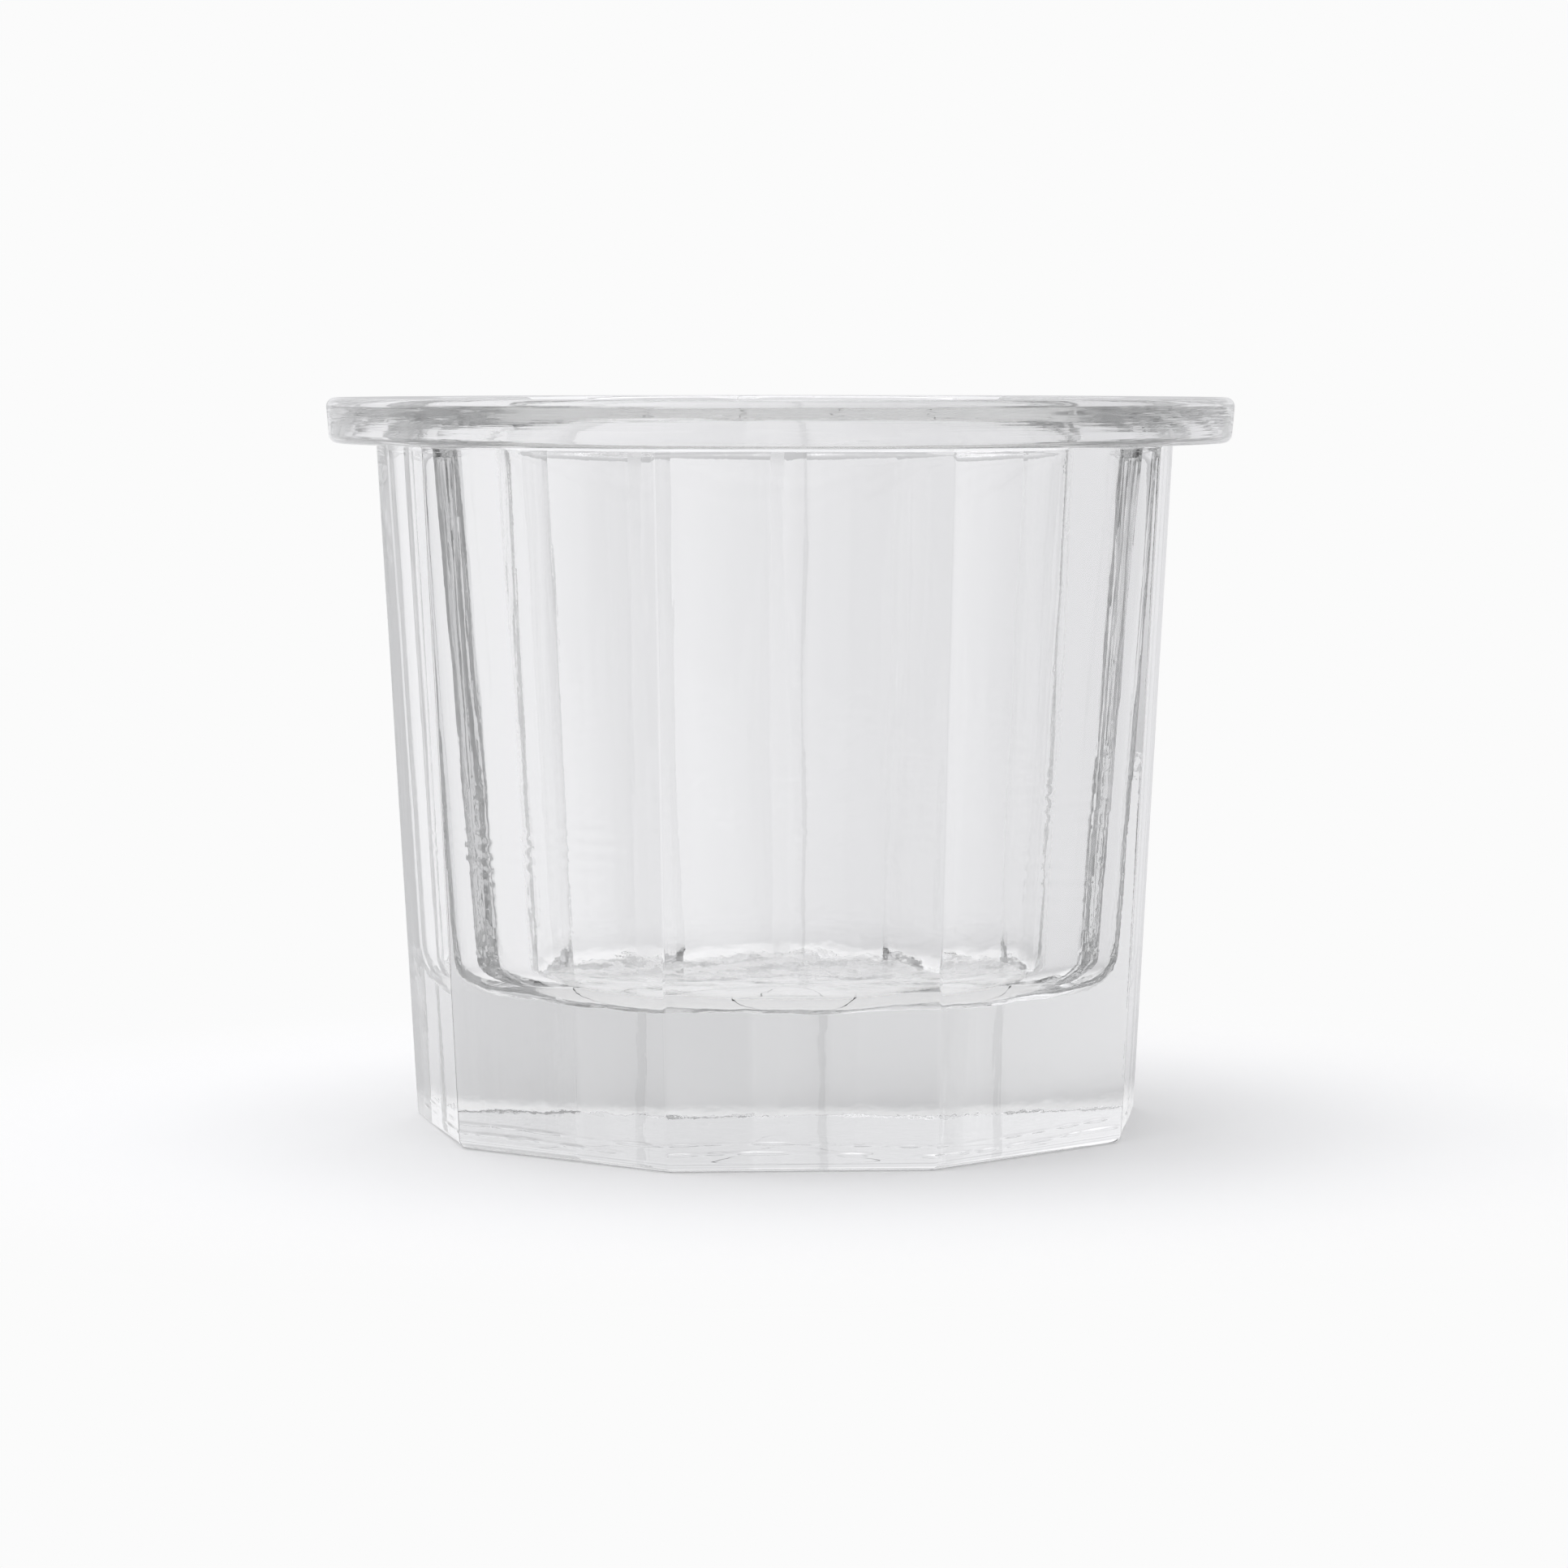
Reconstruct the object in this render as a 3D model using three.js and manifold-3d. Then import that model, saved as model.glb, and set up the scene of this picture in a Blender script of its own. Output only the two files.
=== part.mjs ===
// A tealight holder, pressed in one piece from clear glass.
//
// The body has nine flat sides and narrows downwards from a round flat rim to a thick solid base. A round
// cavity, open at the top, takes the tealight. It narrows downwards too, its floor corner is rounded, and its
// mouth is rounded over into the top of the rim. A shallow flute runs down the corner at the back, +Y.
//
// Units are millimetres and +Z is up. The origin is the centre of the underside. One flat side faces -Y.

import * as THREE from "three";
import { mergeVertices } from "three/addons/utils/BufferGeometryUtils.js";
import Module from "manifold-3d";

const wasm = await Module();
wasm.setup();

// The outside. A body radius is measured to the corners between the flat sides.
const HEIGHT = 60.2;
const SIDES = 9;
const BODY_RADIUS_AT_RIM = 34.05;
const BODY_RADIUS_AT_BASE = 30.85;
const CORNER_ROUND = 0.5;
const BASE_EDGE_ROUND = 0.3;

// The flute down the back corner. Its edges are given by how far they lie from the corner along X at the
// underside, and its hollow rises from its left edge and from its right edge by these powers.
const FLUTE_LEFT = -1.9;
const FLUTE_RIGHT = 4.5;
const FLUTE_DEPTH = 0.7;
const FLUTE_LEFT_POWER = 2;
const FLUTE_RIGHT_POWER = 5;
const FLUTE_STEPS = 16;
const FLUTE_CLEARANCE = 3;

// The rim, a flat round disc whose edge narrows slightly towards its underside.
const RIM_RADIUS = 37.5;
const RIM_THICKNESS = 3.7;
const RIM_DRAFT = 0.2;
const RIM_TOP_ROUND = 0.7;
const RIM_UNDERSIDE_ROUND = 0.7;

// The cavity. Its radii are those of its straight wall carried on to the floor and to the top of the rim.
const BASE_THICKNESS = 12;
const CAVITY_RADIUS_AT_MOUTH = 26;
const CAVITY_RADIUS_AT_FLOOR = 22.3;
const FLOOR_CORNER_ROUND = 3;
const MOUTH_ROUND = 3.3;

// How finely the round shapes are divided.
const ROUND_SEGMENTS = 96;
const ARC_STEPS = 2;
const WELD_DISTANCE = 1e-4;

const RIM_UNDERSIDE = HEIGHT - RIM_THICKNESS;
const QUARTER_TURN = Math.PI / 2;
const CLEAR_OF_TOP = 5;

const glass = new THREE.MeshStandardMaterial({
  color: 0xf2f5f5,
  roughness: 0.03,
  metalness: 0,
  transparent: true,
  opacity: 0.35,
  flatShading: true,
});

// A nine-sided outline with rounded corners, its corners at the given radius before they are rounded.
function roundedOutline(radius) {
  const outline = new THREE.Shape();
  const halfPitch = Math.PI / SIDES;
  const arcCentreRadius = radius - CORNER_ROUND / Math.cos(halfPitch);
  for (let i = 0; i < SIDES; i++) {
    const direction = (2 * i + 1) * halfPitch - QUARTER_TURN;
    outline.absarc(
      arcCentreRadius * Math.cos(direction),
      arcCentreRadius * Math.sin(direction),
      CORNER_ROUND,
      direction - halfPitch,
      direction + halfPitch,
      false,
    );
  }
  outline.closePath();
  return outline;
}

// Each level of the body is the outline of the underside, made larger in step with its height.
function widenUpwards(geometry) {
  const position = geometry.attributes.position;
  const widening = (BODY_RADIUS_AT_RIM / BODY_RADIUS_AT_BASE - 1) / RIM_UNDERSIDE;
  for (let i = 0; i < position.count; i++) {
    const scale = 1 + widening * position.getZ(i);
    position.setXY(i, position.getX(i) * scale, position.getY(i) * scale);
  }
}

// The nine-sided body, whose top end lies hidden inside the rim.
function bodyGeometry() {
  const topEnd = HEIGHT - RIM_THICKNESS / 4;
  const geometry = new THREE.ExtrudeGeometry(roundedOutline(BODY_RADIUS_AT_BASE), {
    depth: topEnd - 2 * BASE_EDGE_ROUND,
    steps: 1,
    curveSegments: ARC_STEPS,
    bevelEnabled: true,
    bevelThickness: BASE_EDGE_ROUND,
    bevelSize: BASE_EDGE_ROUND,
    bevelOffset: -BASE_EDGE_ROUND,
    bevelSegments: 2 * ARC_STEPS,
  });
  geometry.translate(0, 0, BASE_EDGE_ROUND);
  widenUpwards(geometry);
  return geometry;
}

// The space that the flute takes out of the back corner, open at the underside and closed by the rim.
function fluteGeometry() {
  const slope = Math.tan(Math.PI / SIDES);
  const left = new THREE.Vector2(FLUTE_LEFT, BODY_RADIUS_AT_BASE + FLUTE_LEFT * slope);
  const right = new THREE.Vector2(FLUTE_RIGHT, BODY_RADIUS_AT_BASE - FLUTE_RIGHT * slope);
  const across = right.clone().sub(left);
  const inwards = new THREE.Vector2(across.y, -across.x).normalize();
  const outline = [];
  for (let i = 0; i <= FLUTE_STEPS; i++) {
    const share = i / FLUTE_STEPS;
    const fromLeft = 1 - (1 - share) ** FLUTE_LEFT_POWER;
    const fromRight = 1 - share ** FLUTE_RIGHT_POWER;
    const hollow = FLUTE_DEPTH * fromLeft * fromRight;
    outline.push(left.clone().addScaledVector(across, share).addScaledVector(inwards, hollow));
  }
  outline.push(right.clone().addScaledVector(inwards, -FLUTE_CLEARANCE));
  outline.push(left.clone().addScaledVector(inwards, -FLUTE_CLEARANCE));

  const geometry = new THREE.ExtrudeGeometry(new THREE.Shape(outline), {
    depth: RIM_UNDERSIDE + FLUTE_CLEARANCE,
    steps: 1,
    bevelEnabled: false,
  });
  geometry.translate(0, 0, -FLUTE_CLEARANCE);
  widenUpwards(geometry);
  return geometry;
}

// Turns a profile of radius and height round the Z axis.
function turned(profile) {
  const geometry = new THREE.LatheGeometry(profile.getPoints(ARC_STEPS), ROUND_SEGMENTS);
  return geometry.rotateX(QUARTER_TURN);
}

function rimGeometry() {
  const undersideRadius = RIM_RADIUS - RIM_DRAFT - RIM_UNDERSIDE_ROUND;
  const profile = new THREE.Path();
  profile.moveTo(0, RIM_UNDERSIDE);
  profile.lineTo(undersideRadius, RIM_UNDERSIDE);
  profile.absarc(
    undersideRadius,
    RIM_UNDERSIDE + RIM_UNDERSIDE_ROUND,
    RIM_UNDERSIDE_ROUND,
    -QUARTER_TURN,
    0,
    false,
  );
  profile.absarc(
    RIM_RADIUS - RIM_TOP_ROUND,
    HEIGHT - RIM_TOP_ROUND,
    RIM_TOP_ROUND,
    0,
    QUARTER_TURN,
    false,
  );
  profile.lineTo(0, HEIGHT);
  return turned(profile);
}

// The space inside the cavity, carried on above the rim so that it cuts the mouth open.
function cavityGeometry() {
  const depth = HEIGHT - BASE_THICKNESS;
  const wallAngle = Math.atan((CAVITY_RADIUS_AT_MOUTH - CAVITY_RADIUS_AT_FLOOR) / depth);
  const wallRadius = (height) =>
    CAVITY_RADIUS_AT_FLOOR + (height - BASE_THICKNESS) * Math.tan(wallAngle);

  const cornerHeight = BASE_THICKNESS + FLOOR_CORNER_ROUND;
  const cornerRadius = wallRadius(cornerHeight) - FLOOR_CORNER_ROUND / Math.cos(wallAngle);
  const mouthHeight = HEIGHT - MOUTH_ROUND;
  const mouthRadius = wallRadius(mouthHeight) + MOUTH_ROUND / Math.cos(wallAngle);

  const profile = new THREE.Path();
  profile.moveTo(0, BASE_THICKNESS);
  profile.lineTo(cornerRadius, BASE_THICKNESS);
  profile.absarc(
    cornerRadius,
    cornerHeight,
    FLOOR_CORNER_ROUND,
    -QUARTER_TURN,
    -wallAngle,
    false,
  );
  profile.absarc(
    mouthRadius,
    mouthHeight,
    MOUTH_ROUND,
    Math.PI - wallAngle,
    QUARTER_TURN,
    true,
  );
  profile.lineTo(mouthRadius, HEIGHT + CLEAR_OF_TOP);
  profile.lineTo(0, HEIGHT + CLEAR_OF_TOP);
  return turned(profile);
}

// A closed geometry as a solid that can be joined and cut.
function solidOf(geometry) {
  geometry.deleteAttribute("normal");
  geometry.deleteAttribute("uv");
  const welded = mergeVertices(geometry, WELD_DISTANCE);
  return new wasm.Manifold(
    new wasm.Mesh({
      numProp: 3,
      vertProperties: welded.attributes.position.array,
      triVerts: new Uint32Array(welded.index.array),
    }),
  );
}

function geometryOf(solid) {
  const mesh = solid.getMesh();
  const geometry = new THREE.BufferGeometry();
  geometry.setAttribute("position", new THREE.BufferAttribute(mesh.vertProperties, 3));
  geometry.setIndex(new THREE.BufferAttribute(mesh.triVerts, 1));
  return geometry;
}

const body = solidOf(bodyGeometry()).subtract(solidOf(fluteGeometry()));
const outside = body.add(solidOf(rimGeometry()));
const glassHolder = new THREE.Mesh(
  geometryOf(outside.subtract(solidOf(cavityGeometry()))),
  glass,
);
glassHolder.name = "glass_holder";

const tealightHolder = new THREE.Group();
tealightHolder.add(glassHolder);

export default tealightHolder;
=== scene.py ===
"""Looks of a pressed-glass tealight holder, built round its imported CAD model."""

import math

import bpy
import numpy as np
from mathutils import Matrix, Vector


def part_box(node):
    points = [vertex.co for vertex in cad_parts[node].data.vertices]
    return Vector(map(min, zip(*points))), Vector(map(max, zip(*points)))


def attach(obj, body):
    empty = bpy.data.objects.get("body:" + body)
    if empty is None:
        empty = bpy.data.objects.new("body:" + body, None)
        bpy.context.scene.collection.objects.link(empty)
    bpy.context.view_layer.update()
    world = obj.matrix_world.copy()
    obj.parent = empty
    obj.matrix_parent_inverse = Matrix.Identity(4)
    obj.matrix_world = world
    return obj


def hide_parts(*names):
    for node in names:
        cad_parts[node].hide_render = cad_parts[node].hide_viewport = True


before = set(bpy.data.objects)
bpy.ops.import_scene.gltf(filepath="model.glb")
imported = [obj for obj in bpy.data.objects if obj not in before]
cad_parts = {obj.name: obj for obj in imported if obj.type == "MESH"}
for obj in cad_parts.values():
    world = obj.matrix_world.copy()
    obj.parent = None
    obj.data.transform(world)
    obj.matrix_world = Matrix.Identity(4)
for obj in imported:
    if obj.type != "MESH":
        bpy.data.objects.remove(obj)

CAD_NODE = "glass_holder"
BODY = "root"
MM = 0.001  # lengths in this script are in millimetres, and Blender's are in metres

cad_low, cad_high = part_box(CAD_NODE)
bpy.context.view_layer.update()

# The outside of the glass. A body radius is measured to the corners between the flat sides.
HEIGHT = cad_high.z / MM
RIM_RADIUS = cad_high.x / MM
SIDES = 9
BODY_RADIUS_AT_RIM = 34.05
BODY_RADIUS_AT_BASE = 30.85
CORNER_ROUND = 0.5
RIM_THICKNESS = 3.7
RIM_DRAFT = 0.2
RIM_TOP_ROUND = 0.7
RIM_UNDERSIDE_ROUND = 0.7
RIM_FILLET = 0.3

# The edge of the foot is rounder at the front than at the back. Its rounding changes over this distance in
# front of the middle.
FOOT_ROUND_FRONT = 0.8
FOOT_ROUND_BACK = 0.12
FOOT_ROUND_BLEND = 12

# The cavity. Its radii are those of its straight wall carried on to the floor and to the top of the rim.
BASE_THICKNESS = 12
CAVITY_RADIUS_AT_MOUTH = 26
CAVITY_RADIUS_AT_FLOOR = 22.3
FLOOR_CORNER_ROUND = 3
MOUTH_ROUND = 3.3

RIM_UNDERSIDE = HEIGHT - RIM_THICKNESS
HALF_PITCH = math.pi / SIDES

# Corners are counted anticlockwise, seen from above, from the one at the front right. The back corner is
# pressed into a shallow uneven flute, which is steepest along its right edge. Its two edges are given by how
# far they lie from the corner along X at the underside.
BACK_CORNER = 4
FLUTE_LEFT = -1.9
FLUTE_RIGHT = 4.5
FLUTE_DEPTH = 0.7
FLUTE_LEFT_POWER = 2
FLUTE_RIGHT_POWER = 5

# Random unevenness of the surface. Each kind has its height, its seed, its usual wavelength and how far it
# is stretched along X, Y and Z. It is a sum of so many waves, whose wavelengths vary by these factors.
WAVES = 28
WAVE_SPREAD = (0.6, 1.6)
EVEN_STRETCH = (1, 1, 1)
SIDE_WAVE = (0.012, 21, 16.0, (1, 1, 2))
SIDE_RIPPLE = (0.004, 22, 4.0, (1, 1, 4))
FLUTE_WAVE = (0.015, 11, 5.0, (0.5, 1, 1.6))
RIM_WAVE = (0.004, 31, 24.0, (1, 1, 0.08))
RIM_TOP_WAVE = (0.02, 61, 14.0, EVEN_STRETCH)
CAVITY_WAVE = (0.02, 41, 15.0, (1, 1, 3))
CAVITY_RIPPLE = (0.006, 42, 4.0, (1, 1, 5))
FLOOR_WAVE = (0.045, 51, 8.0, EVEN_STRETCH)
FLOOR_GRAIN = (0.01, 52, 2.4, EVEN_STRETCH)

# The uneven rim is drawn in this far, so that its waves stay inside the solid's outline.
RIM_DRAWN_IN = 0.02
RIM_TOP_DRAWN_IN = 0.05

# Two seams of the mould, at these corners.
SEAM_CORNERS = (1, 7)
SEAM_HEIGHT = 0.035
SEAM_WIDTH = 0.22

# The joint of the mould's bottom plate, a broken line near the foot, and a fainter one above it: the height
# of each line above the underside, how far it stands out, its half-width and the seed of its breaks.
FOOT_LINES = ((1.28, 0.09, 0.10, 35), (2.05, 0.05, 0.09, 43))
FOOT_LINE_WANDER = (0.12, 24, 22.0, EVEN_STRETCH)

# The breaks of those lines: their wavelength and stretch, how much of the line is left and its greatest
# strength. The lines fade out this share of the body's radius behind the middle.
BREAK_WAVELENGTH = 2.2
BREAK_STRETCH = (1, 1, 9)
BREAK_COVER = 0.35
BREAK_MOST = 1.5
FOOT_LINE_FADE = 0.4

# Chilled ripples round the cavity's wall, in patches. They drift out of step by this many radians.
RIPPLE_MIDDLE = 26
RIPPLE_SPREAD = 5
RIPPLE_PITCH = 1.15
RIPPLE_HEIGHT = 0.013
RIPPLE_DRIFT = (2.2, 43, 18.0, EVEN_STRETCH)
RIPPLE_PATCHES = (1, 44, 12.0, (1, 1, 0.5))
RIPPLE_COVER = 0.6
RIPPLE_MOST = 2
RIPPLE_REACH = 1.6

# The cavity's floor sinks this far from its middle to its back. The press tool left a fine sunken line
# round it, just outside this radius.
FLOOR_SINK = 0.3
FLOOR_RADIUS = 19.5
LIP_DEPTH = 0.08
LIP_WIDTH = 0.3
LIP_WAVE = (0.4, 53, 5.0, EVEN_STRETCH)

# The glass itself.
GLASS_IOR = 1.52
ABSORPTION_COLOUR = (0.6, 0.605, 0.6, 1)
ABSORPTION_DENSITY = 9.5

# Fine marks in the material. Each scale is in waves a metre along X, Y and Z: streaks drawn down the walls,
# streaks turned round the rim, which are deeper by this factor, and a fine skin all over.
DRAWN_SCALE = (900, 900, 45)
TURNED_SCALE = (60, 60, 2600)
TURNED_TO_DRAWN = 3
STREAK_DEPTH = 0.012
SKIN_SCALE = (2600, 2600, 2600)
SKIN_DEPTH = 0.0012
RIM_BLEND = 0.3

# The uneven skin of the lower walls, where the glass met the cold mould: none above its top.
CHILL_SCALE = (420, 420, 800)
CHILL_TOP = 38
CHILL_FULL = 27
CHILL_DEPTH = 0.012

# Faint patches of bloom, where their noise rises between these two levels.
BLOOM_SCALE = (160, 160, 160)
BLOOM_FROM = 0.62
BLOOM_FULL = 0.8
BLOOM_ROUGHNESS = 0.03

# A matt film on the flute and a grey strip of painted shade, between these distances from the corner at the
# underside: the film on its left bank and the painted shade along its right edge. Their edges waver with a
# noise, taken from its middle level.
MATT_FILM = (FLUTE_LEFT, 0.8)
MATT_ROUGHNESS = 0.25
PAINTED_SHADE_STRIP = (3.5, FLUTE_RIGHT)
PAINTED_SHADE_TINT = 0.85
FILM_AND_SHADE_EDGE = 0.25
FILM_AND_SHADE_WAVER = 0.9
FILM_AND_SHADE_SCALE = (90, 90, 260)
NOISE_MIDDLE = 0.5

# The matt film and the painted shade lie only further back than this along Y, where the flute is and the
# cavity is not.
BEHIND_CAVITY = 27
BEHIND_BLEND = 0.2

# The mesh's columns, and the share of a flat side kept between its corner and its first inner column.
CORNER_STEPS = 6
FLAT_STEPS = 30
FLUTE_STEPS_LEFT = 12
FLUTE_STEPS_RIGHT = 30
EDGE_GUARD = 0.02

# The mesh's rings, in steps over each part of the surface.
UNDERSIDE_SHARES = (0.3, 0.6, 0.9, 0.98, 1)
FOOT_ROUND_STEPS = 10
FOOT_BAND_TOP = 2.45
FOOT_BAND_STEP = 0.07
WALL_STEPS = 46
FILLET_STEPS = 5
RIM_UNDERSIDE_STEPS = 5
RIM_UNDERSIDE_ROUND_STEPS = 5
RIM_EDGE_STEPS = 8
RIM_TOP_ROUND_STEPS = 6
RIM_TOP_STEPS = 11
MOUTH_STEPS = 9
UPPER_CAVITY_STEPS = 24
RIPPLED_STEPS = 53
LOWER_CAVITY_STEPS = 7
FLOOR_CORNER_STEPS = 24
FLOOR_STEPS = 30

# The paper floor, which lies a hair below the glass.
FLOOR_GAP = 0.05
FLOOR_HALF = 3000
PAPER = 0.85

# To rays through the glass, the paper glows under the holder inside the inner radius. Outside the outer
# radius it glows more on the left than on the right, in a soft step between two headings, given by their
# sines.
PAPER_GLOW_UNDER_GLASS = 0.475
GLOW_INNER = 28
GLOW_OUTER = 42
PAPER_GLOW_LEFT = 0.16
PAPER_GLOW = 0.05
GLOW_LEFT_END = -0.42
GLOW_RIGHT_END = 0.4

# To the camera's own rays, the paper is lifted and glows, a little less near the holder. Between two radii
# it blends into the white backdrop.
LIFT_IN_VIEW = 1.15
GLOW_IN_VIEW = 0.15
GLOW_NEAR_IN_VIEW = 0.115
VIEW_GLOW_INNER = 32
VIEW_GLOW_OUTER = 58
WHITE_INNER = 42
WHITE_OUTER = 88
WHITE_IN_VIEW = 0.965

# The surroundings, which are a little dimmer at the horizon.
AMBIENT = 0.38
TINT = (0.99, 0.99, 1.01)
HORIZON_DIP = 0.25
HORIZON_BAND = 0.05

# The lights round the object: heading from straight behind it towards +X and elevation, in degrees, then
# how tightly each gathers round its heading, its half-height as a sine and its strength.
LIGHTS = {
    "back left, low": (-35, 4, 4.0, 0.10, 0.58),
    "back right, low": (40, 4, 4.0, 0.10, 0.52),
    "left, low": (-110, 4, 5.0, 0.10, 0.75),
    "right, low": (85, 4, 6.0, 0.10, 0.42),
    "back, high": (-15, 28, 1.6, 0.18, 1.05),
    "front left, high": (-150, 28, 4.0, 0.18, 0.66),
    "left, top": (-90, 55, 3.0, 0.18, 0.9),
    "right, top": (90, 55, 3.0, 0.18, 0.15),
    "overhead": (0, 90, 0.0, 0.18, 0.36),
}

# The camera: how far it stands from the object's axis, how high, and how far its line of sight passes from
# the axis, then its swing round the axis and its downward pitch in degrees.
CAMERA_DISTANCE = 426.1
CAMERA_HEIGHT = 62.73
CAMERA_ASIDE = 0.29
CAMERA_SWING = -3.35
CAMERA_PITCH = 4.649

# Its lens, and the nearest and furthest things it sees.
SENSOR_WIDTH = 36
LENS = 117.8
NEAREST_SEEN = 10
FURTHEST_SEEN = 20000

# How often a ray may bend or bounce before it is given up.
GLASS_BOUNCES = 32
GLOSSY_BOUNCES = 16


def swell(points, seed, wavelength, stretch):
    """A smooth random field over points in millimetres, about 1 high, stretched along each axis."""
    draw = np.random.default_rng(seed)
    heading = draw.normal(size=(WAVES, 3))
    heading /= np.linalg.norm(heading, axis=1, keepdims=True)
    pace = 2 * math.pi / (wavelength * draw.uniform(*WAVE_SPREAD, size=(WAVES, 1)))
    phase = draw.uniform(0, 2 * math.pi, size=WAVES)
    turns = points @ (heading * pace / np.array(stretch)).T + phase
    return np.cos(turns).sum(axis=1) * math.sqrt(2 / WAVES)


def unevenness(points, kind):
    """Random unevenness of one kind at each point."""
    height, seed, wavelength, stretch = kind
    return height * swell(points, seed, wavelength, stretch)


def bump(distance, width):
    """A rounded ridge 1 high, of this half-width."""
    return np.exp(-((distance / width) ** 2))


def flute_reach(across):
    """How far along a straight side the flute's edge lies from the side's end at the back corner."""
    return across / math.cos(HALF_PITCH) - CORNER_ROUND * math.tan(HALF_PITCH)


def outline_columns():
    """Points, outward normals and corner distances round the underside's nine-sided outline."""
    points = []
    normals = []
    from_corner = []
    corner_of = []
    centre_radius = BODY_RADIUS_AT_BASE - CORNER_ROUND / math.cos(HALF_PITCH)
    for corner in range(SIDES):
        direction = (2 * corner + 1) * HALF_PITCH - math.pi / 2
        centre = centre_radius * np.array([math.cos(direction), math.sin(direction)])
        for turn in np.linspace(-HALF_PITCH, HALF_PITCH, CORNER_STEPS + 1):
            normal = np.array([math.cos(direction + turn), math.sin(direction + turn)])
            points.append(centre + CORNER_ROUND * normal)
            normals.append(normal)
            from_corner.append(CORNER_ROUND * turn)
            corner_of.append(corner)
        start = points[-1]
        facing = normals[-1]
        next_direction = direction + 2 * HALF_PITCH
        next_centre = centre_radius * np.array([math.cos(next_direction), math.sin(next_direction)])
        end = next_centre + CORNER_ROUND * facing
        length = np.linalg.norm(end - start)
        shares = np.linspace(EDGE_GUARD, 1 - EDGE_GUARD, FLAT_STEPS)
        if corner == BACK_CORNER - 1:
            edge = 1 - flute_reach(FLUTE_RIGHT) / length
            fine = np.linspace(edge, 1 - EDGE_GUARD, FLUTE_STEPS_RIGHT)
            shares = np.concatenate([shares[shares < edge - EDGE_GUARD], fine])
        if corner == BACK_CORNER:
            edge = flute_reach(-FLUTE_LEFT) / length
            fine = np.linspace(EDGE_GUARD, edge, FLUTE_STEPS_LEFT)
            shares = np.concatenate([fine, shares[shares > edge + EDGE_GUARD]])
        for share in shares:
            points.append(start + share * (end - start))
            normals.append(facing)
            near_end = share > 0.5
            from_corner.append((share - 1) * length if near_end else share * length)
            corner_of.append((corner + 1) % SIDES if near_end else corner)
    return np.array(points), np.array(normals), np.array(from_corner), np.array(corner_of)


OUTLINE, OUTWARD, FROM_CORNER, CORNER_OF = outline_columns()
COLUMN_ANGLE = np.arctan2(OUTLINE[:, 1], OUTLINE[:, 0])
ROUND = np.stack([np.cos(COLUMN_ANGLE), np.sin(COLUMN_ANGLE)], axis=1)


def ring(flat_points, height):
    """One closed ring of mesh points at a height, which may differ from point to point."""
    return np.column_stack([flat_points, np.broadcast_to(height, len(flat_points)).astype(float)])


def fluted_back(flat_points, height, scale):
    """Presses the shallow flute into the back corner."""
    corner_radius = BODY_RADIUS_AT_BASE * scale
    slope = math.tan(HALF_PITCH)
    left = np.array([FLUTE_LEFT * scale, corner_radius + FLUTE_LEFT * scale * slope])
    right = np.array([FLUTE_RIGHT * scale, corner_radius - FLUTE_RIGHT * scale * slope])
    width = np.linalg.norm(right - left)
    along = (right - left) / width
    facing = np.array([-along[1], along[0]])
    share = np.clip((flat_points - left) @ along / width, 0, 1)
    hollow = FLUTE_DEPTH * (1 - (1 - share) ** FLUTE_LEFT_POWER) * (1 - share**FLUTE_RIGHT_POWER)
    waver = unevenness(ring(flat_points, height), FLUTE_WAVE)
    beyond = (flat_points - left) @ facing + hollow + waver * np.sin(math.pi * share)
    inside = (share > 0) & (share < 1) & (flat_points[:, 1] > 0)
    cut = np.where((beyond > 0) & inside, beyond, 0)
    return flat_points - cut[:, None] * facing


def body_ring(height, offset=0.0):
    """The body's outline at a height, moved outwards by offset, with its unevenness."""
    scale = 1 + (BODY_RADIUS_AT_RIM / BODY_RADIUS_AT_BASE - 1) / RIM_UNDERSIDE * height
    flat_points = OUTLINE * scale + OUTWARD * np.reshape(offset, (-1, 1))
    here = ring(flat_points, height)
    uneven = unevenness(here, SIDE_WAVE) + unevenness(here, SIDE_RIPPLE)
    uneven += SEAM_HEIGHT * np.isin(CORNER_OF, SEAM_CORNERS) * bump(FROM_CORNER, SEAM_WIDTH)
    front = np.clip(FOOT_LINE_FADE - flat_points[:, 1] / BODY_RADIUS_AT_BASE, 0, 1)
    wander = unevenness(here * (1, 1, 0), FOOT_LINE_WANDER)
    for middle, rise, width, seed in FOOT_LINES:
        broken = BREAK_COVER + swell(here, seed, BREAK_WAVELENGTH, BREAK_STRETCH)
        broken = np.clip(broken, 0, BREAK_MOST)
        uneven += rise * front * broken * bump(height - middle - wander, width)
    flat_points = flat_points + OUTWARD * uneven[:, None]
    return fluted_back(flat_points, height, scale)


def onward(start, end, steps):
    """Evenly spaced values from start to end, with start itself left out."""
    return np.linspace(start, end, steps + 1)[1:]


def quarter(steps):
    """Angles of a quarter turn, with its start left out."""
    return onward(0, math.pi / 2, steps)


def foot_offset(height):
    """How far out from the body's outline each point of the rounded foot lies, which is 0 or less."""
    front = np.clip(-OUTLINE[:, 1] / FOOT_ROUND_BLEND, 0, 1)
    radius = FOOT_ROUND_BACK + (FOOT_ROUND_FRONT - FOOT_ROUND_BACK) * front
    below = np.clip(radius - height, 0, radius)
    return np.sqrt(radius**2 - below**2) - radius


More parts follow.
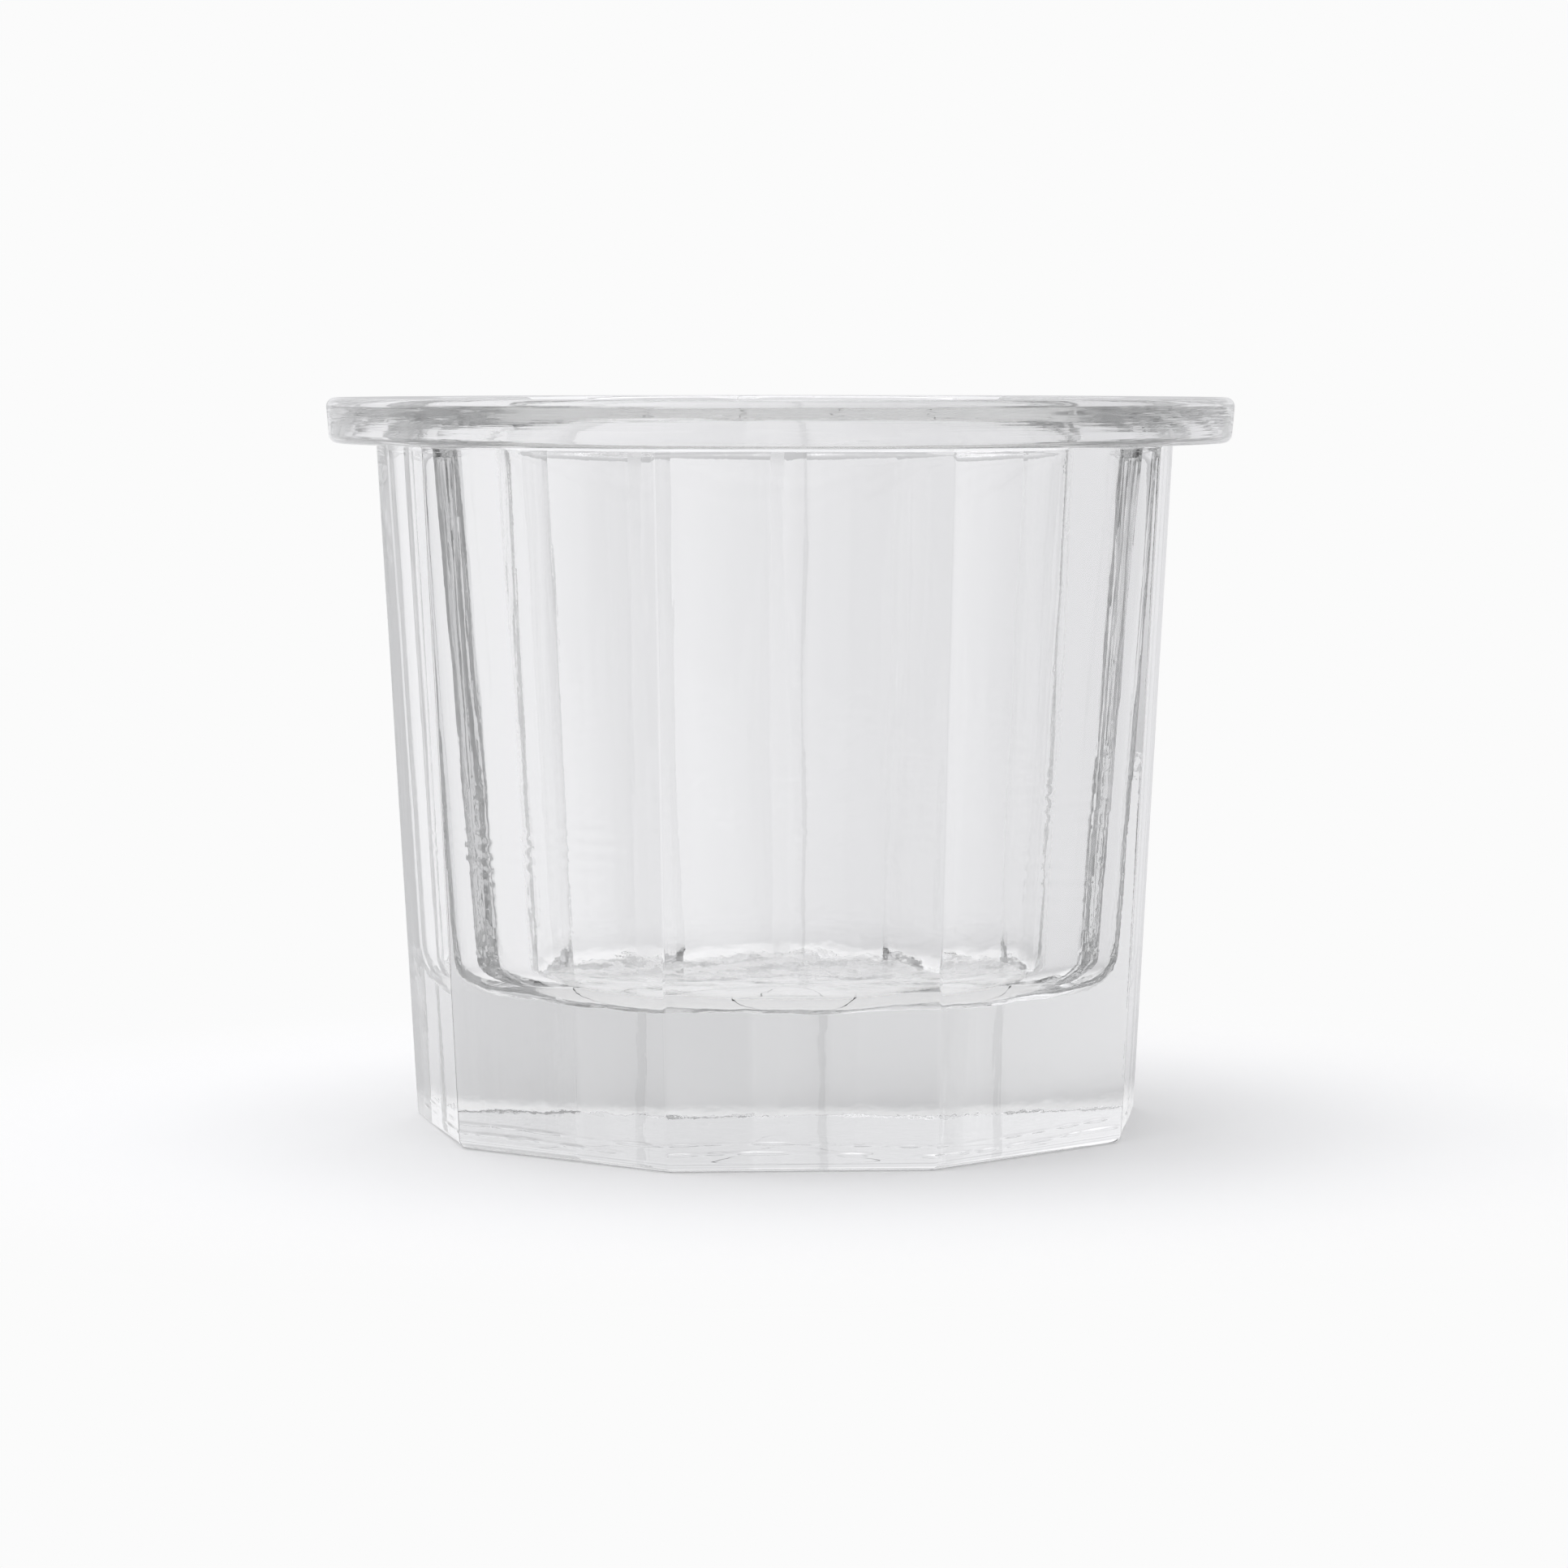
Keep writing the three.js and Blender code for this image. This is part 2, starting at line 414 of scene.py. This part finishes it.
def outside_rings():
    """Rings from the middle of the underside, up the body and round the rim to its top."""
    rings = []
    foot = body_ring(0, foot_offset(0))
    for share in UNDERSIDE_SHARES:
        rings.append(ring(foot * share, 0))
    for angle in quarter(FOOT_ROUND_STEPS):
        height = FOOT_ROUND_FRONT * (1 - math.cos(angle))
        rings.append(ring(body_ring(height, foot_offset(height)), height))
    wall_top = RIM_UNDERSIDE - RIM_FILLET
    heights = np.concatenate([
        np.arange(FOOT_ROUND_FRONT + FOOT_BAND_STEP, FOOT_BAND_TOP, FOOT_BAND_STEP),
        np.linspace(FOOT_BAND_TOP, wall_top, WALL_STEPS + 1),
    ])
    for height in heights:
        rings.append(ring(body_ring(height), height))
    for angle in quarter(FILLET_STEPS):
        height = wall_top + RIM_FILLET * math.sin(angle)
        rings.append(ring(body_ring(height, RIM_FILLET * (1 - math.cos(angle))), height))
    neck = body_ring(RIM_UNDERSIDE, RIM_FILLET)
    flat_radius = RIM_RADIUS - RIM_DRAFT - RIM_UNDERSIDE_ROUND
    for share in onward(0, 1, RIM_UNDERSIDE_STEPS):
        rings.append(ring(neck + share * (flat_radius * ROUND - neck), RIM_UNDERSIDE))
    for angle in quarter(RIM_UNDERSIDE_ROUND_STEPS):
        radius = flat_radius + RIM_UNDERSIDE_ROUND * math.sin(angle)
        height = RIM_UNDERSIDE + RIM_UNDERSIDE_ROUND * (1 - math.cos(angle))
        rings.append(rim_ring(radius, height))
    low = RIM_UNDERSIDE + RIM_UNDERSIDE_ROUND
    high = HEIGHT - RIM_TOP_ROUND
    for share in onward(0, 1, RIM_EDGE_STEPS):
        radius = RIM_RADIUS - RIM_DRAFT * (1 - share)
        rings.append(rim_ring(radius, low + share * (high - low)))
    for angle in quarter(RIM_TOP_ROUND_STEPS):
        radius = RIM_RADIUS - RIM_TOP_ROUND * (1 - math.cos(angle))
        rings.append(rim_ring(radius, high + RIM_TOP_ROUND * math.sin(angle)))
    return rings


def rim_ring(radius, height):
    """A round ring of the rim, slightly uneven."""
    here = ring(radius * ROUND, height)
    uneven = unevenness(here, RIM_WAVE) - RIM_DRAWN_IN
    return ring((radius + uneven)[:, None] * ROUND, height)


def cavity_ring(radius, height):
    """A ring of the cavity's wall, with its waves and chilled ripples."""
    here = ring(radius * ROUND, height)
    uneven = unevenness(here, CAVITY_WAVE) + unevenness(here, CAVITY_RIPPLE)
    chill = bump(height - RIPPLE_MIDDLE, RIPPLE_SPREAD)
    wave = 2 * math.pi * height / RIPPLE_PITCH + unevenness(here, RIPPLE_DRIFT)
    patches = np.clip(RIPPLE_COVER + unevenness(here, RIPPLE_PATCHES), 0, RIPPLE_MOST)
    uneven += RIPPLE_HEIGHT * chill * patches * np.cos(wave)
    return ring((radius + uneven)[:, None] * ROUND, height)


def floor_ring(radius, height):
    """A ring of the cavity's floor, which is uneven and a little hollow towards the back."""
    flat_points = radius * ROUND
    here = ring(flat_points, height)
    uneven = unevenness(here, FLOOR_WAVE) + unevenness(here, FLOOR_GRAIN)
    hollow = FLOOR_SINK * np.clip(flat_points[:, 1] / CAVITY_RADIUS_AT_FLOOR, 0, 1)
    depth = LIP_DEPTH * (1 + unevenness(here, LIP_WAVE))
    lip = depth * bump(radius - FLOOR_RADIUS - LIP_WIDTH, LIP_WIDTH)
    return ring(flat_points, height + uneven - hollow - lip)


def cavity_rings():
    """Rings from the top of the rim, over the mouth and down the cavity to the middle of its floor."""
    rings = []
    depth = HEIGHT - BASE_THICKNESS
    wall_angle = math.atan((CAVITY_RADIUS_AT_MOUTH - CAVITY_RADIUS_AT_FLOOR) / depth)
    slope = math.tan(wall_angle)
    mouth_height = HEIGHT - MOUTH_ROUND
    mouth_radius = CAVITY_RADIUS_AT_FLOOR + (mouth_height - BASE_THICKNESS) * slope
    mouth_radius += MOUTH_ROUND / math.cos(wall_angle)
    corner_height = BASE_THICKNESS + FLOOR_CORNER_ROUND
    corner_radius = CAVITY_RADIUS_AT_FLOOR + FLOOR_CORNER_ROUND * slope
    corner_radius -= FLOOR_CORNER_ROUND / math.cos(wall_angle)
    top_edge = RIM_RADIUS - RIM_TOP_ROUND
    for share in onward(0, 1, RIM_TOP_STEPS):
        radius = top_edge + share * (mouth_radius - top_edge)
        sunk = unevenness(ring(radius * ROUND, HEIGHT), RIM_TOP_WAVE) - RIM_TOP_DRAWN_IN
        rings.append(ring(radius * ROUND, HEIGHT + sunk * math.sin(math.pi * share)))
    for angle in onward(math.pi / 2, math.pi - wall_angle, MOUTH_STEPS):
        radius = mouth_radius + MOUTH_ROUND * math.cos(angle)
        rings.append(cavity_ring(radius, mouth_height + MOUTH_ROUND * math.sin(angle)))
    wall_top = mouth_height + MOUTH_ROUND * math.sin(wall_angle)
    wall_foot = corner_height - FLOOR_CORNER_ROUND * math.sin(wall_angle)
    rippled_top = RIPPLE_MIDDLE + RIPPLE_REACH * RIPPLE_SPREAD
    rippled_foot = RIPPLE_MIDDLE - RIPPLE_REACH * RIPPLE_SPREAD
    heights = np.concatenate([
        onward(wall_top, rippled_top, UPPER_CAVITY_STEPS),
        onward(rippled_top, rippled_foot, RIPPLED_STEPS),
        onward(rippled_foot, wall_foot, LOWER_CAVITY_STEPS),
    ])
    for height in heights:
        radius = CAVITY_RADIUS_AT_FLOOR + (height - BASE_THICKNESS) * slope
        rings.append(cavity_ring(radius, height))
    for angle in onward(-wall_angle, -math.pi / 2, FLOOR_CORNER_STEPS):
        radius = corner_radius + FLOOR_CORNER_ROUND * math.cos(angle)
        height = corner_height + FLOOR_CORNER_ROUND * math.sin(angle)
        blend = math.sin(angle) ** 2
        wall = cavity_ring(radius, height)
        floor = floor_ring(radius, height)
        rings.append(wall * (1 - blend) + floor * blend)
    for share in onward(1, 0, FLOOR_STEPS)[:-1]:
        rings.append(floor_ring(corner_radius * share, BASE_THICKNESS))
    return rings


def closed_mesh(name, rings, first_point, last_point):
    """A mesh through rings of equal length, closed by a fan of triangles at each end."""
    columns = len(rings[0])
    points = np.concatenate([[first_point], *rings, [last_point]]) * MM
    sides = [(column, (column + 1) % columns) for column in range(columns)]
    faces = [(0, 1 + b, 1 + a) for a, b in sides]
    for level in range(len(rings) - 1):
        low = 1 + level * columns
        high = low + columns
        faces += [(low + a, low + b, high + b, high + a) for a, b in sides]
    last = len(points) - 1
    top = last - columns
    faces += [(top + a, top + b, last) for a, b in sides]
    mesh = bpy.data.meshes.new(name)
    mesh.from_pydata(points.tolist(), [], faces)
    mesh.update()
    mesh.shade_smooth()
    return mesh


class Graph:
    """Short ways to add nodes to a node tree."""

    def __init__(self, tree):
        self.nodes = tree.nodes
        self.links = tree.links

    def node(self, kind, **settings):
        made = self.nodes.new(kind)
        for name, value in settings.items():
            setattr(made, name, value)
        return made

    def feed(self, socket, value):
        """Links an output socket to an input, or sets a plain value on it."""
        if isinstance(value, bpy.types.NodeSocket):
            self.links.new(value, socket)
        else:
            socket.default_value = value

    def math(self, operation, *values):
        made = self.node("ShaderNodeMath", operation=operation)
        for socket, value in zip(made.inputs, values):
            self.feed(socket, value)
        return made.outputs[0]

    def vector(self, operation, *values):
        made = self.node("ShaderNodeVectorMath", operation=operation)
        for socket, value in zip(made.inputs, values):
            self.feed(socket, value)
        return made

    def ramp(self, value, low, high, to_low=0.0, to_high=1.0):
        """A smooth step from to_low at low up to to_high at high."""
        made = self.node("ShaderNodeMapRange", interpolation_type="SMOOTHSTEP")
        for name, setting in (
            ("Value", value),
            ("From Min", low),
            ("From Max", high),
            ("To Min", to_low),
            ("To Max", to_high),
        ):
            self.feed(made.inputs[name], setting)
        return made.outputs["Result"]

    def noise(self, scales, detail=2.0):
        """Noise over the object's own coordinates, with this many waves a metre along each axis."""
        place = self.node("ShaderNodeTexCoord").outputs["Object"]
        scaled = self.vector("MULTIPLY", place, scales).outputs["Vector"]
        made = self.node("ShaderNodeTexNoise")
        self.feed(made.inputs["Vector"], scaled)
        self.feed(made.inputs["Scale"], 1.0)
        self.feed(made.inputs["Detail"], detail)
        return made.outputs["Fac"]

    def bump(self, height, depth, under=None):
        """A bump this many metres deep, laid over another bump's normal."""
        made = self.node("ShaderNodeBump")
        self.feed(made.inputs["Height"], height)
        self.feed(made.inputs["Distance"], depth)
        if under is not None:
            self.feed(made.inputs["Normal"], under)
        return made.outputs["Normal"]


def glass_bumps(graph, parts, on_rim):
    """The normal of glass with drawn streaks on its walls, turned streaks on its rim and a fine skin."""
    drawn = graph.noise(DRAWN_SCALE)
    turned = graph.noise(TURNED_SCALE)
    drawn = graph.math("MULTIPLY", drawn, graph.math("SUBTRACT", 1.0, on_rim))
    turned = graph.math("MULTIPLY", graph.math("MULTIPLY", turned, on_rim), TURNED_TO_DRAWN)
    streaks = graph.bump(graph.math("ADD", drawn, turned), STREAK_DEPTH * MM)
    low_down = graph.ramp(parts["Z"], CHILL_TOP * MM, CHILL_FULL * MM)
    chilled = graph.math("MULTIPLY", graph.noise(CHILL_SCALE), low_down)
    chilled = graph.bump(chilled, CHILL_DEPTH * MM, streaks)
    return graph.bump(graph.noise(SKIN_SCALE), SKIN_DEPTH * MM, chilled)


def film_or_painted_shade(graph, across, limits, behind):
    """Where the matt film or the painted shade lies on the flute: 1 on it, 0 elsewhere and a soft step at
    each edge.
    """
    low, high = limits
    risen = graph.ramp(across, low * MM, (low + FILM_AND_SHADE_EDGE) * MM)
    fallen = graph.ramp(across, (high - FILM_AND_SHADE_EDGE) * MM, high * MM, 1.0, 0.0)
    return graph.math("MULTIPLY", graph.math("MULTIPLY", risen, fallen), behind)


def glass_material():
    """Clear slightly grey glass with fine marks, faint bloom, a matt film on its flute and painted shade
    along its right edge.
    """
    material = bpy.data.materials.new("clear_pressed_glass")
    material.use_nodes = True
    graph = Graph(material.node_tree)
    shader = graph.nodes["Principled BSDF"]
    shader.inputs["IOR"].default_value = GLASS_IOR
    shader.inputs["Transmission Weight"].default_value = 1.0

    place = graph.node("ShaderNodeTexCoord").outputs["Object"]
    split = graph.node("ShaderNodeSeparateXYZ")
    graph.feed(split.inputs[0], place)
    parts = split.outputs
    on_rim = graph.ramp(parts["Z"], (RIM_UNDERSIDE - RIM_BLEND) * MM, (RIM_UNDERSIDE + RIM_BLEND) * MM)
    graph.feed(shader.inputs["Normal"], glass_bumps(graph, parts, on_rim))

    widening = (BODY_RADIUS_AT_RIM / BODY_RADIUS_AT_BASE - 1) / (RIM_UNDERSIDE * MM)
    spread = graph.math("ADD", graph.math("MULTIPLY", parts["Z"], widening), 1.0)
    across = graph.math("DIVIDE", parts["X"], spread)
    wander = graph.math("SUBTRACT", graph.noise(FILM_AND_SHADE_SCALE), NOISE_MIDDLE)
    across = graph.math("ADD", across, graph.math("MULTIPLY", wander, FILM_AND_SHADE_WAVER * MM))
    behind = graph.ramp(parts["Y"], (BEHIND_CAVITY - BEHIND_BLEND) * MM, BEHIND_CAVITY * MM)
    behind = graph.math("MULTIPLY", behind, graph.math("SUBTRACT", 1.0, on_rim))
    matt = graph.math("MULTIPLY", film_or_painted_shade(graph, across, MATT_FILM, behind), MATT_ROUGHNESS)
    bloom = graph.ramp(graph.noise(BLOOM_SCALE), BLOOM_FROM, BLOOM_FULL, 0.0, BLOOM_ROUGHNESS)
    graph.feed(shader.inputs["Roughness"], graph.math("MAXIMUM", bloom, matt))
    # Painted shade: the glass's colour is greyed in a strip along the flute's right edge, to darken it
    # there.
    painted_shade = graph.math("MULTIPLY", film_or_painted_shade(graph, across, PAINTED_SHADE_STRIP, behind), 1 - PAINTED_SHADE_TINT)
    graph.feed(shader.inputs["Base Color"], graph.math("SUBTRACT", 1.0, painted_shade))

    absorption = graph.node("ShaderNodeVolumeAbsorption")
    absorption.inputs["Color"].default_value = ABSORPTION_COLOUR
    absorption.inputs["Density"].default_value = ABSORPTION_DENSITY
    graph.feed(graph.nodes["Material Output"].inputs["Volume"], absorption.outputs["Volume"])
    return material


def make_glass():
    """The whole holder as one closed mesh of glass, in place of the plain solid."""
    rings = outside_rings() + cavity_rings()
    middle_of_floor = (0, 0, rings[-1][:, 2].mean())
    mesh = closed_mesh("holder_glass", rings, (0, 0, 0), middle_of_floor)
    piece = bpy.data.objects.new("holder_glass", mesh)
    bpy.context.scene.collection.objects.link(piece)
    mesh.materials.append(glass_material())
    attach(piece, BODY)
    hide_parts(CAD_NODE)


def light_path(graph, in_view, elsewhere):
    """One value to the camera's own rays and another to all the others."""
    seen = graph.node("ShaderNodeLightPath").outputs["Is Camera Ray"]
    made = graph.node("ShaderNodeMix", data_type="FLOAT")
    graph.feed(made.inputs[0], seen)
    graph.feed(made.inputs[2], elsewhere)
    graph.feed(made.inputs[3], in_view)
    return made.outputs[0]


def make_floor():
    """A wide sheet of white paper, whose brightness to the camera and to the glass are set apart."""
    corners = [(-FLOOR_HALF, -FLOOR_HALF), (FLOOR_HALF, -FLOOR_HALF)]
    corners += [(FLOOR_HALF, FLOOR_HALF), (-FLOOR_HALF, FLOOR_HALF)]
    mesh = bpy.data.meshes.new("floor")
    mesh.from_pydata([(x * MM, y * MM, -FLOOR_GAP * MM) for x, y in corners], [], [(0, 1, 2, 3)])
    floor = bpy.data.objects.new("floor", mesh)
    bpy.context.scene.collection.objects.link(floor)
    material = bpy.data.materials.new("white_paper")
    material.use_nodes = True
    graph = Graph(material.node_tree)
    shader = graph.nodes["Principled BSDF"]
    place = graph.node("ShaderNodeTexCoord").outputs["Object"]
    from_middle = graph.vector("LENGTH", place).outputs["Value"]
    far = graph.ramp(from_middle, WHITE_INNER * MM, WHITE_OUTER * MM)
    lifted = graph.ramp(from_middle, WHITE_INNER * MM, WHITE_OUTER * MM, PAPER * LIFT_IN_VIEW, 0.0)
    graph.feed(shader.inputs["Base Color"], light_path(graph, lifted, PAPER))
    graph.feed(shader.inputs["Emission Color"], (1, 1, 1, 1))
    heading = graph.node("ShaderNodeSeparateXYZ")
    graph.feed(heading.inputs[0], graph.vector("NORMALIZE", place).outputs["Vector"])
    spread = graph.ramp(
        heading.outputs["X"], GLOW_LEFT_END, GLOW_RIGHT_END, PAPER_GLOW_LEFT, PAPER_GLOW
    )
    glow = graph.ramp(
        from_middle, GLOW_INNER * MM, GLOW_OUTER * MM, PAPER_GLOW_UNDER_GLASS, spread
    )
    in_view = graph.ramp(
        from_middle, VIEW_GLOW_INNER * MM, VIEW_GLOW_OUTER * MM, GLOW_NEAR_IN_VIEW, GLOW_IN_VIEW
    )
    in_view = graph.math("MULTIPLY", in_view, graph.math("SUBTRACT", 1.0, far))
    in_view = graph.math("ADD", in_view, graph.math("MULTIPLY", far, WHITE_IN_VIEW))
    graph.feed(shader.inputs["Emission Strength"], light_path(graph, in_view, glow))
    graph.feed(shader.inputs["Roughness"], 1.0)
    graph.feed(shader.inputs["Specular IOR Level"], 0.0)
    mesh.materials.append(material)


def make_world():
    """Soft studio light as a sum of wide lobes, seen by the camera as plain white."""
    world = bpy.data.worlds.new("studio")
    bpy.context.scene.world = world
    world.use_nodes = True
    graph = Graph(world.node_tree)
    direction = graph.node("ShaderNodeTexCoord").outputs["Generated"]
    level = graph.vector("MULTIPLY", direction, (1, 1, 0)).outputs["Vector"]
    heading = graph.vector("NORMALIZE", level).outputs["Vector"]
    split = graph.node("ShaderNodeSeparateXYZ")
    graph.feed(split.inputs[0], direction)
    rise = split.outputs["Z"]
    total = AMBIENT
    for azimuth, elevation, gather, half_height, strength in LIGHTS.values():
        turn = math.radians(azimuth)
        towards = (math.sin(turn), math.cos(turn), 0)
        facing = graph.vector("DOT_PRODUCT", heading, towards).outputs["Value"]
        around = graph.math("MULTIPLY", graph.math("SUBTRACT", facing, 1.0), gather)
        above = graph.math("SUBTRACT", rise, math.sin(math.radians(elevation)))
        upright = graph.math("DIVIDE", graph.math("MULTIPLY", above, above), 2 * half_height**2)
        lobe = graph.math("EXPONENT", graph.math("SUBTRACT", around, upright))
        total = graph.math("ADD", total, graph.math("MULTIPLY", lobe, strength))
    near_horizon = graph.math("DIVIDE", rise, HORIZON_BAND)
    near_horizon = graph.math("MULTIPLY", near_horizon, near_horizon)
    near_horizon = graph.math("EXPONENT", graph.math("MULTIPLY", near_horizon, -1.0))
    dip = graph.math("MULTIPLY", near_horizon, -HORIZON_DIP)
    total = graph.math("MULTIPLY", total, graph.math("ADD", dip, 1.0))
    around = graph.vector("SCALE", TINT)
    graph.feed(around.inputs["Scale"], total)
    seen = graph.node("ShaderNodeLightPath").outputs["Is Camera Ray"]
    colour = graph.node("ShaderNodeMix", data_type="VECTOR")
    graph.feed(colour.inputs[0], seen)
    graph.feed(colour.inputs[4], around.outputs["Vector"])
    graph.feed(colour.inputs[5], (WHITE_IN_VIEW, WHITE_IN_VIEW, WHITE_IN_VIEW))
    graph.feed(graph.nodes["Background"].inputs["Color"], colour.outputs[1])


def make_camera():
    """A camera that looks at the front of the holder from just above its rim."""
    data = bpy.data.cameras.new("camera")
    camera = bpy.data.objects.new("camera", data)
    bpy.context.scene.collection.objects.link(camera)
    swing = math.radians(CAMERA_SWING)
    across = Vector((math.cos(swing), math.sin(swing), 0))
    ahead = Vector((-math.sin(swing), math.cos(swing), 0))
    place = CAMERA_ASIDE * across - CAMERA_DISTANCE * ahead + Vector((0, 0, CAMERA_HEIGHT))
    camera.location = place * MM
    camera.rotation_euler = (math.radians(90 - CAMERA_PITCH), 0, swing)
    data.sensor_width = SENSOR_WIDTH
    data.lens = LENS
    data.clip_start = NEAREST_SEEN * MM
    data.clip_end = FURTHEST_SEEN * MM
    bpy.context.scene.camera = camera


make_camera()
make_glass()
make_floor()
make_world()

scene = bpy.context.scene
scene.view_settings.view_transform = "Standard"
scene.cycles.max_bounces = GLASS_BOUNCES
scene.cycles.transmission_bounces = GLASS_BOUNCES
scene.cycles.glossy_bounces = GLOSSY_BOUNCES
